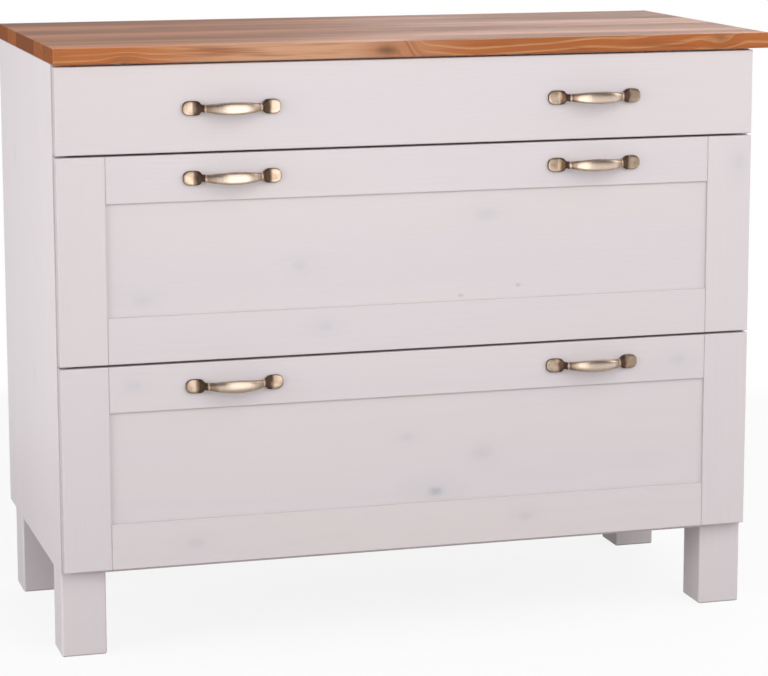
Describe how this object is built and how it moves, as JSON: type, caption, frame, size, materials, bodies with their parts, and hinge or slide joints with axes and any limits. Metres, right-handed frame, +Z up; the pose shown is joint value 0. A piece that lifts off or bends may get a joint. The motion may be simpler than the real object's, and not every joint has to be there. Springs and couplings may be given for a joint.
{
  "type": "chest of drawers",
  "caption": "Low chest with full-width drawers, framed fronts, bow handles, square legs and a wooden worktop.",
  "frame": {"origin": "middle of the chest's outline, handles included, on the floor", "axes": "+X to the right seen from the front, +Y to the back, +Z up"},
  "size_m": [1.02, 0.505, 0.836],
  "materials": {
    "white_glazed_pine": "white glaze, satin",
    "honey_pine": "honey stain, satin lacquer",
    "drawer_pine": "bare planed pine",
    "hardboard": "white-faced hardboard, matt",
    "antique_brass": "aged, satin polished",
    "runner_steel": "cream epoxy coat",
    "nylon": "moulded, matt",
    "zinc_steel": "bright zinc plate",
    "beech": "fluted beech rod, bare"
  },
  "bodies": {
    "carcass": {"worktop": "honey_pine", "side_panel_left": "white_glazed_pine", "side_panel_right": "white_glazed_pine", "bottom_panel": "white_glazed_pine", "back_panel": "hardboard", "top_rail_front": "white_glazed_pine", "top_rail_rear": "white_glazed_pine", "leg_front_left": "white_glazed_pine", "leg_front_right": "white_glazed_pine", "leg_rear_left": "white_glazed_pine", "leg_rear_right": "white_glazed_pine", "leg_bolts": "zinc_steel", "carcass_dowels": "beech", "worktop_screws": "zinc_steel", "cabinet_runners_top": "runner_steel", "cabinet_runners_middle": "runner_steel", "cabinet_runners_bottom": "runner_steel"},
    "drawer_top": {"front_top": "white_glazed_pine", "drawer_top_side_left": "drawer_pine", "drawer_top_side_right": "drawer_pine", "drawer_top_back": "drawer_pine", "drawer_top_bottom": "hardboard", "drawer_runners_top": "runner_steel", "handle_top_left": "antique_brass", "handle_top_right": "antique_brass", "handle_screws_top": "zinc_steel"},
    "drawer_middle": {"front_middle_stile_left": "white_glazed_pine", "front_middle_stile_right": "white_glazed_pine", "front_middle_rail_top": "white_glazed_pine", "front_middle_rail_bottom": "white_glazed_pine", "front_middle_panel": "white_glazed_pine", "drawer_middle_side_left": "drawer_pine", "drawer_middle_side_right": "drawer_pine", "drawer_middle_back": "drawer_pine", "drawer_middle_bottom": "hardboard", "drawer_runners_middle": "runner_steel", "handle_middle_left": "antique_brass", "handle_middle_right": "antique_brass", "handle_screws_middle": "zinc_steel"},
    "drawer_bottom": {"front_bottom_stile_left": "white_glazed_pine", "front_bottom_stile_right": "white_glazed_pine", "front_bottom_rail_top": "white_glazed_pine", "front_bottom_rail_bottom": "white_glazed_pine", "front_bottom_panel": "white_glazed_pine", "drawer_bottom_side_left": "drawer_pine", "drawer_bottom_side_right": "drawer_pine", "drawer_bottom_back": "drawer_pine", "drawer_bottom_bottom": "hardboard", "drawer_runners_bottom": "runner_steel", "handle_bottom_left": "antique_brass", "handle_bottom_right": "antique_brass", "handle_screws_bottom": "zinc_steel"},
    "cabinet_rollers_top": {"cabinet_rollers_top": "nylon"},
    "drawer_rollers_top": {"drawer_rollers_top": "nylon"},
    "cabinet_rollers_middle": {"cabinet_rollers_middle": "nylon"},
    "drawer_rollers_middle": {"drawer_rollers_middle": "nylon"},
    "cabinet_rollers_bottom": {"cabinet_rollers_bottom": "nylon"},
    "drawer_rollers_bottom": {"drawer_rollers_bottom": "nylon"}
  },
  "joints": [
    {"name": "drawer_top_slide", "type": "slide", "parent": "carcass", "child": "drawer_top", "axis": [0, -1, 0], "range_m": [0, 0.3]},
    {"name": "cabinet_rollers_top_spin", "type": "hinge", "parent": "carcass", "child": "cabinet_rollers_top", "pos_m": [-0.01, -0.1885, 0.7203], "axis": [1, 0, 0], "range_deg": [0, 2100]},
    {"name": "drawer_rollers_top_spin", "type": "hinge", "parent": "drawer_top", "child": "drawer_rollers_top", "pos_m": [-0.01, 0.1795, 0.7188], "axis": [1, 0, 0], "range_deg": [0, 2100]},
    {"name": "drawer_middle_slide", "type": "slide", "parent": "carcass", "child": "drawer_middle", "axis": [0, -1, 0], "range_m": [0, 0.3]},
    {"name": "cabinet_rollers_middle_spin", "type": "hinge", "parent": "carcass", "child": "cabinet_rollers_middle", "pos_m": [-0.01, -0.1885, 0.4353], "axis": [1, 0, 0], "range_deg": [0, 2100]},
    {"name": "drawer_rollers_middle_spin", "type": "hinge", "parent": "drawer_middle", "child": "drawer_rollers_middle", "pos_m": [-0.01, 0.1795, 0.4338], "axis": [1, 0, 0], "range_deg": [0, 2100]},
    {"name": "drawer_bottom_slide", "type": "slide", "parent": "carcass", "child": "drawer_bottom", "axis": [0, -1, 0], "range_m": [0, 0.3]},
    {"name": "cabinet_rollers_bottom_spin", "type": "hinge", "parent": "carcass", "child": "cabinet_rollers_bottom", "pos_m": [-0.01, -0.1885, 0.1503], "axis": [1, 0, 0], "range_deg": [0, 2100]},
    {"name": "drawer_rollers_bottom_spin", "type": "hinge", "parent": "drawer_bottom", "child": "drawer_rollers_bottom", "pos_m": [-0.01, 0.1795, 0.1488], "axis": [1, 0, 0], "range_deg": [0, 2100]}
  ],
  "couplings": [
    {"joint": "cabinet_rollers_top_spin", "follows": "drawer_top_slide", "rad_per_m": 117.65},
    {"joint": "drawer_rollers_top_spin", "follows": "drawer_top_slide", "rad_per_m": 117.65},
    {"joint": "cabinet_rollers_middle_spin", "follows": "drawer_middle_slide", "rad_per_m": 117.65},
    {"joint": "drawer_rollers_middle_spin", "follows": "drawer_middle_slide", "rad_per_m": 117.65},
    {"joint": "cabinet_rollers_bottom_spin", "follows": "drawer_bottom_slide", "rad_per_m": 117.65},
    {"joint": "drawer_rollers_bottom_spin", "follows": "drawer_bottom_slide", "rad_per_m": 117.65}
  ]
}
